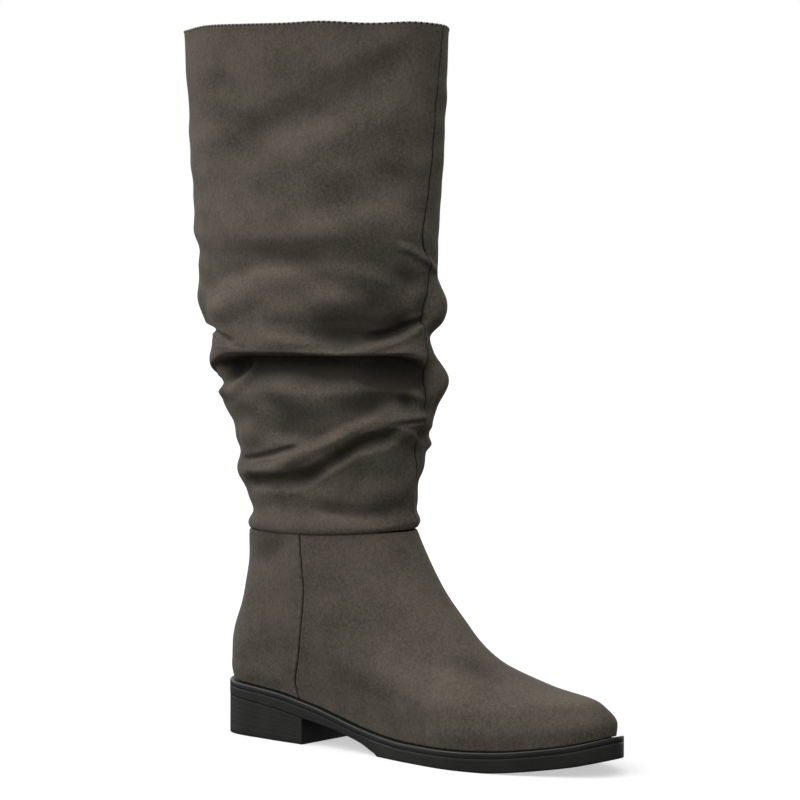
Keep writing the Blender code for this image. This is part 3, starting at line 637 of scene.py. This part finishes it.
def make_heel(rubber):
    """The low heel: straight breast, sides with faint moulded lines, rounded lower edge."""
    table = np.linspace(0, 90, 1801)
    breast = float(np.interp(HEEL_LENGTH, outline_with_margin(table, WELT_WIDTH)[0], table))
    round_back = np.linspace(-breast, breast, 121)

    def ring(margin, share, lift):
        def height(station):
            return (underside_height(station) - BED) * (1 - share) + lift
        side = sole_ring(round_back, margin, height)
        front = np.linspace(side[-1], side[0], 26)[1:]
        return np.concatenate([side, front])

    def cap(edge, shares):
        """Rings drawn in from an edge towards its middle."""
        return [edge + (edge.mean(axis=0) - edge) * np.array([share, share, 0.0]) for share in shares]

    line_depth = 0.04
    top_width = WELT_WIDTH - HEEL_FLARE
    lines = [(WELT_WIDTH - HEEL_FLARE * (1 - share) - (line_depth if k % 4 == 3 else 0.0), share, 0.0)
             for k, share in enumerate(np.linspace(0.06, 0.88, 24))]
    profile = ([(top_width - 0.8, 0.0, 0.0), (top_width - 0.04, 0.0, 0.0), (top_width, 0.01, -0.06)] + lines
               + [(WELT_WIDTH - inset, 1.0, lift) for inset, lift in TREAD_EDGE]
               + [(WELT_WIDTH - 0.8, 1.0, 0.0)])
    rings = [ring(*row) for row in profile]
    grid = np.array(cap(rings[0], (1.0, 0.6, 0.2)) + rings + cap(rings[-1], (0.2, 0.6, 1.0)))
    grid[0, :, 2] = grid[0, :, 2].mean()
    mesh = laid_out("rubber_heel", grid, (rubber,))
    mesh.set_sharp_from_angle(angle=math.radians(50))
    return in_scene("rubber_heel", mesh, ("heel",))


# Materials

def add(tree, kind, options=None, values=None, links=None):
    """Adds a node with its options, its input values and the sockets that feed its inputs."""
    node = tree.nodes.new(kind)
    for name, value in (options or {}).items():
        setattr(node, name, value)
    for name, value in (values or {}).items():
        node.inputs[name].default_value = value
    for name, socket in (links or {}).items():
        tree.links.new(socket, node.inputs[name])
    return node


def new_material(name):
    """A material with its node tree and its shader."""
    material = bpy.data.materials.new(name)
    material.use_nodes = True
    tree = material.node_tree
    return material, tree, tree.nodes["Principled BSDF"]


def per_metre(size_mm):
    """Texture scale that gives a pattern this size in millimetres."""
    return 1.0 / (size_mm * MM)


def brushed_suede():
    """Brushed synthetic suede: a matt nap with cloudy patches, upright streaks, paler crests and painted
    shade in the hollows.
    """
    material, tree, shader = new_material("brushed_suede")
    place = add(tree, "ShaderNodeTexCoord").outputs["Object"]
    clouds = add(tree, "ShaderNodeTexNoise",
                 values={"Scale": per_metre(30), "Detail": 6.0, "Roughness": 0.62}, links={"Vector": place})
    warm = add(tree, "ShaderNodeTexNoise", {"noise_dimensions": "4D"},
               {"Scale": per_metre(48), "Detail": 2.0, "W": 3.7}, {"Vector": place})
    drawn = add(tree, "ShaderNodeMapping", values={"Scale": (1.0, 1.0, 0.2)}, links={"Vector": place})
    # The nap's hairs are about 0.1 mm. So that they show, the streaks they lie in are drawn 0.9 mm wide and
    # their tufts 1.5 mm.
    streaks = add(tree, "ShaderNodeTexNoise", values={"Scale": per_metre(0.9), "Detail": 2.0},
                  links={"Vector": drawn.outputs["Vector"]})
    nap = add(tree, "ShaderNodeTexNoise", values={"Scale": per_metre(1.5), "Detail": 3.0, "Roughness": 0.75},
              links={"Vector": place})
    seam = add(tree, "ShaderNodeAttribute", {"attribute_name": "seam"})
    crest_wear_and_painted_fold_shading = add(tree, "ShaderNodeAttribute", {"attribute_name": "crest_wear_and_painted_fold_shading"})

    cloud_share = add(tree, "ShaderNodeMapRange", values={"From Min": 0.34, "From Max": 0.66},
                      links={"Value": clouds.outputs["Fac"]})
    tone = add(tree, "ShaderNodeMix", {"data_type": "RGBA"}, {6: linear("#484339"), 7: linear("#605a50")},
               {0: cloud_share.outputs["Result"]})
    # Each layer of colour: its pattern, where the pattern starts and is full, the most it covers, its colour
    for pattern, start, full, most, colour in (
            (warm, 0.5, 0.72, 0.6, "#625a4e"),       # warmer patches
            (crest_wear_and_painted_fold_shading, 0.1, 1.1, 0.12, "#6e675c"),      # paler crests, partly rubbed nap and partly a painted highlight
            (streaks, 0.3, 0.72, 0.4, "#37332e"),    # streaks
            (nap, 0.38, 0.7, 0.5, "#756e63"),        # pale tufts
            (crest_wear_and_painted_fold_shading, -0.2, -1.4, 0.85, "#24211d"),    # painted shade in the deep hollows
            (seam, 0.1, 0.9, 0.85, "#1c1a17")):      # seam grooves
        share = add(tree, "ShaderNodeMapRange", values={"From Min": start, "From Max": full, "To Max": most},
                    links={"Value": pattern.outputs["Fac"]})
        tone = add(tree, "ShaderNodeMix", {"data_type": "RGBA"}, {7: linear(colour)},
                   {0: share.outputs["Result"], 6: tone.outputs[2]})
    # The suede is made a little darker below the smooth top of the shaft, over the slack folds and the foot
    rise = add(tree, "ShaderNodeSeparateXYZ", links={0: place})
    top_share = add(tree, "ShaderNodeMapRange", values={"From Min": 190 * MM, "From Max": 280 * MM},
                    links={"Value": rise.outputs["Z"]})
    lower_darkening = add(tree, "ShaderNodeMix", {"data_type": "RGBA"}, {6: linear("#f3f3f3"), 7: linear("#ffffff")},
                   {0: top_share.outputs["Result"]})
    darkened_below = add(tree, "ShaderNodeMix", {"data_type": "RGBA", "blend_type": "MULTIPLY"}, {0: 1.0},
                  {6: tone.outputs[2], 7: lower_darkening.outputs[2]})
    tree.links.new(darkened_below.outputs[2], shader.inputs["Base Color"])

    raised = add(tree, "ShaderNodeMath", {"operation": "ADD"},
                 links={0: streaks.outputs["Fac"], 1: nap.outputs["Fac"]})
    bump = add(tree, "ShaderNodeBump", values={"Strength": 0.6, "Distance": 0.3 * MM},
               links={"Height": raised.outputs["Value"]})
    tree.links.new(bump.outputs["Normal"], shader.inputs["Normal"])
    shader.inputs["Roughness"].default_value = 0.92
    shader.inputs["Specular IOR Level"].default_value = 0.18
    shader.inputs["Sheen Weight"].default_value = 0.25
    shader.inputs["Sheen Roughness"].default_value = 0.45
    shader.inputs["Sheen Tint"].default_value = linear("#8f857a")
    return material


def woven_lining():
    """Woven polyester lining: a plain dull weave in two close greys."""
    material, tree, shader = new_material("woven_lining")
    place = add(tree, "ShaderNodeTexCoord").outputs["Object"]
    # Threads are about 0.4 mm apart; they are drawn 0.9 mm apart so that they show. A wave texture has ten
    # bands to every pi units.
    threads = per_metre(0.9) * math.pi / 10
    weft, warp = (add(tree, "ShaderNodeTexWave", {"bands_direction": direction},
                      {"Scale": threads, "Distortion": 0.6}, {"Vector": place})
                  for direction in ("Z", "DIAGONAL"))
    weave = add(tree, "ShaderNodeMath", {"operation": "MULTIPLY"},
                links={0: weft.outputs["Fac"], 1: warp.outputs["Fac"]})
    cloth = add(tree, "ShaderNodeMix", {"data_type": "RGBA"}, {6: linear("#565048"), 7: linear("#686157")},
                {0: weave.outputs["Value"]})
    tree.links.new(cloth.outputs[2], shader.inputs["Base Color"])
    bump = add(tree, "ShaderNodeBump", values={"Strength": 0.3, "Distance": 0.2 * MM},
               links={"Height": weave.outputs["Value"]})
    tree.links.new(bump.outputs["Normal"], shader.inputs["Normal"])
    shader.inputs["Roughness"].default_value = 0.85
    return material


def moulded_rubber():
    """Moulded black rubber: satin, with a faint cloudy bloom and fine mould grain along the edges."""
    material, tree, shader = new_material("moulded_rubber")
    place = add(tree, "ShaderNodeTexCoord").outputs["Object"]
    drawn = add(tree, "ShaderNodeMapping", values={"Scale": (0.12, 0.12, 1.0)}, links={"Vector": place})
    scuffs = add(tree, "ShaderNodeTexNoise", values={"Scale": per_metre(1.6), "Detail": 3.0},
                 links={"Vector": drawn.outputs["Vector"]})
    bloom = add(tree, "ShaderNodeTexNoise", values={"Scale": per_metre(18), "Detail": 3.0},
                links={"Vector": place})
    # The mould's grain is about 0.2 mm; it is drawn 0.7 mm so that it shows
    grain = add(tree, "ShaderNodeTexNoise", values={"Scale": per_metre(0.7), "Detail": 2.0},
                links={"Vector": place})
    share = add(tree, "ShaderNodeMapRange", values={"From Min": 0.35, "From Max": 0.75},
                links={"Value": bloom.outputs["Fac"]})
    tone = add(tree, "ShaderNodeMix", {"data_type": "RGBA"}, {6: linear("#212120"), 7: linear("#272726")},
               {0: share.outputs["Result"]})
    tree.links.new(tone.outputs[2], shader.inputs["Base Color"])
    satin = add(tree, "ShaderNodeMapRange",
                values={"From Min": 0.3, "From Max": 0.7, "To Min": 0.36, "To Max": 0.52},
                links={"Value": scuffs.outputs["Fac"]})
    tree.links.new(satin.outputs["Result"], shader.inputs["Roughness"])
    raised = add(tree, "ShaderNodeMath", {"operation": "ADD"},
                 links={0: scuffs.outputs["Fac"], 1: grain.outputs["Fac"]})
    bump = add(tree, "ShaderNodeBump", values={"Strength": 0.15, "Distance": 0.15 * MM},
               links={"Height": raised.outputs["Value"]})
    tree.links.new(bump.outputs["Normal"], shader.inputs["Normal"])
    shader.inputs["Specular IOR Level"].default_value = 0.22
    return material


def burnished_rubber():
    """Rubber burnished on the wheel: the welt's rounded top edge catches the light as a thin line."""
    material, tree, shader = new_material("burnished_rubber")
    place = add(tree, "ShaderNodeTexCoord").outputs["Object"]
    wear = add(tree, "ShaderNodeTexNoise", values={"Scale": per_metre(14), "Detail": 2.0},
               links={"Vector": place})
    gloss = add(tree, "ShaderNodeMapRange",
                values={"From Min": 0.35, "From Max": 0.65, "To Min": 0.2, "To Max": 0.42},
                links={"Value": wear.outputs["Fac"]})
    tree.links.new(gloss.outputs["Result"], shader.inputs["Roughness"])
    shader.inputs["Base Color"].default_value = linear("#242423")
    shader.inputs["Specular IOR Level"].default_value = 0.5
    return material


def sewing_thread():
    """Bonded polyester thread: dark, with a slight twist along it."""
    material, tree, shader = new_material("sewing_thread")
    place = add(tree, "ShaderNodeTexCoord").outputs["Object"]
    twist = add(tree, "ShaderNodeTexNoise", values={"Scale": per_metre(0.5)}, links={"Vector": place})
    tone = add(tree, "ShaderNodeMix", {"data_type": "RGBA"}, {6: linear("#0c0b0a"), 7: linear("#1b1917")},
               {0: twist.outputs["Fac"]})
    tree.links.new(tone.outputs[2], shader.inputs["Base Color"])
    shader.inputs["Roughness"].default_value = 0.6
    return material


def fibre_backing():
    """Non-woven backing of the suede: pale short fibres, light dots between the collar's stitches."""
    material, tree, shader = new_material("fibre_backing")
    place = add(tree, "ShaderNodeTexCoord").outputs["Object"]
    # Fibres are about 0.05 mm thick; they are drawn as tufts of 0.4 mm so that they show
    fibres = add(tree, "ShaderNodeTexNoise", values={"Scale": per_metre(0.4), "Detail": 2.0},
                 links={"Vector": place})
    tone = add(tree, "ShaderNodeMix", {"data_type": "RGBA"}, {6: linear("#857d72"), 7: linear("#a39b8f")},
               {0: fibres.outputs["Fac"]})
    tree.links.new(tone.outputs[2], shader.inputs["Base Color"])
    shader.inputs["Roughness"].default_value = 0.95
    return material


def opal_acrylic():
    """Opal acrylic sheet lit from below: an even white that keeps shadows faint."""
    material, tree, shader = new_material("opal_acrylic")
    place = add(tree, "ShaderNodeTexCoord").outputs["Object"]
    mottle = add(tree, "ShaderNodeTexNoise", values={"Scale": per_metre(60), "Detail": 2.0},
                 links={"Vector": place})
    tone = add(tree, "ShaderNodeMix", {"data_type": "RGBA"}, {6: linear("#bcbcbc"), 7: linear("#bebebe")},
               {0: mottle.outputs["Fac"]})
    tree.links.new(tone.outputs[2], shader.inputs["Base Color"])
    shader.inputs["Roughness"].default_value = 0.9
    shader.inputs["Specular IOR Level"].default_value = 0.1
    shader.inputs["Emission Color"].default_value = linear("#ffffff")
    shader.inputs["Emission Strength"].default_value = 0.52
    return material


# Studio

CAMERA_PLACE = Vector((1.1837, -1.3089, 0.290))
CAMERA_AIM = Vector((0.091, -0.0066, 0.198))
LENS = 136.62
SENSOR = 36.0


def make_camera():
    """The photograph's view: level with the folds, from the outer side and a little from the front."""
    data = bpy.data.cameras.new("camera")
    data.lens = LENS
    data.sensor_width = SENSOR
    camera = bpy.data.objects.new("camera", data)
    camera.location = CAMERA_PLACE
    camera.rotation_euler = (CAMERA_AIM - CAMERA_PLACE).to_track_quat("-Z", "Y").to_euler()
    bpy.context.scene.collection.objects.link(camera)
    bpy.context.scene.camera = camera


def make_floor(acrylic):
    """A wide lit sheet. It takes the boot's faint shadow and throws no light back up into the folds."""
    builder = bmesh.new()
    bmesh.ops.create_circle(builder, cap_ends=True, segments=64, radius=60.0)
    mesh = bpy.data.meshes.new("floor")
    builder.to_mesh(mesh)
    builder.free()
    mesh.materials.append(acrylic)
    floor = bpy.data.objects.new("floor", mesh)
    floor.visible_diffuse = False
    floor.visible_glossy = False
    bpy.context.scene.collection.objects.link(floor)


def make_studio():
    """Wide soft lights and a white room: bright round the horizon, dimmer above, dark under the floor."""
    for name, energy, spread, direction in (("top_softbox", 2.32, 80, (0.05, 0.6, -1.0)),
                                            ("heel_side_softbox", 1.12, 60, (0.9, 0.3, -0.5)),
                                            ("toe_side_softbox", 0.15, 60, (-0.9, 0.25, -0.35)),
                                            ("far_side_softbox", 0.9, 80, (0.45, -0.9, -0.45))):
        data = bpy.data.lights.new(name, "SUN")
        data.energy = energy
        data.angle = math.radians(spread)
        light = bpy.data.objects.new(name, data)
        light.rotation_euler = Vector(direction).to_track_quat("-Z", "Y").to_euler()
        bpy.context.scene.collection.objects.link(light)
    world = bpy.data.worlds.new("white_room")
    world.use_nodes = True
    tree = world.node_tree
    towards = add(tree, "ShaderNodeTexCoord").outputs["Generated"]
    facing = add(tree, "ShaderNodeSeparateXYZ", links={0: towards})
    above, below = (add(tree, "ShaderNodeMapRange",
                        values={"From Min": low, "From Max": high, "To Min": at_low, "To Max": at_high},
                        links={"Value": facing.outputs["Z"]})
                    for low, high, at_low, at_high in ((0.085, 0.2, 1.0, 0.3), (-0.08, -0.02, 0.04, 1.0)))
    strength = add(tree, "ShaderNodeMath", {"operation": "MULTIPLY"},
                   links={0: above.outputs["Result"], 1: below.outputs["Result"]})
    backdrop = tree.nodes["Background"]
    backdrop.inputs["Color"].default_value = linear("#ffffff")
    tree.links.new(strength.outputs["Value"], backdrop.inputs["Strength"])
    bpy.context.scene.world = world
    bpy.context.scene.view_settings.view_transform = "Standard"


def main():
    suede, lining, rubber = brushed_suede(), woven_lining(), moulded_rubber()
    make_foot(suede, lining)
    make_shaft(suede, lining)
    make_collar_stitches(sewing_thread(), fibre_backing())
    make_welt(rubber, burnished_rubber())
    make_outsole(rubber)
    make_heel(rubber)
    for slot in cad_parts["insole"].material_slots:
        slot.material = lining
    make_camera()
    make_floor(opal_acrylic())
    make_studio()


main()
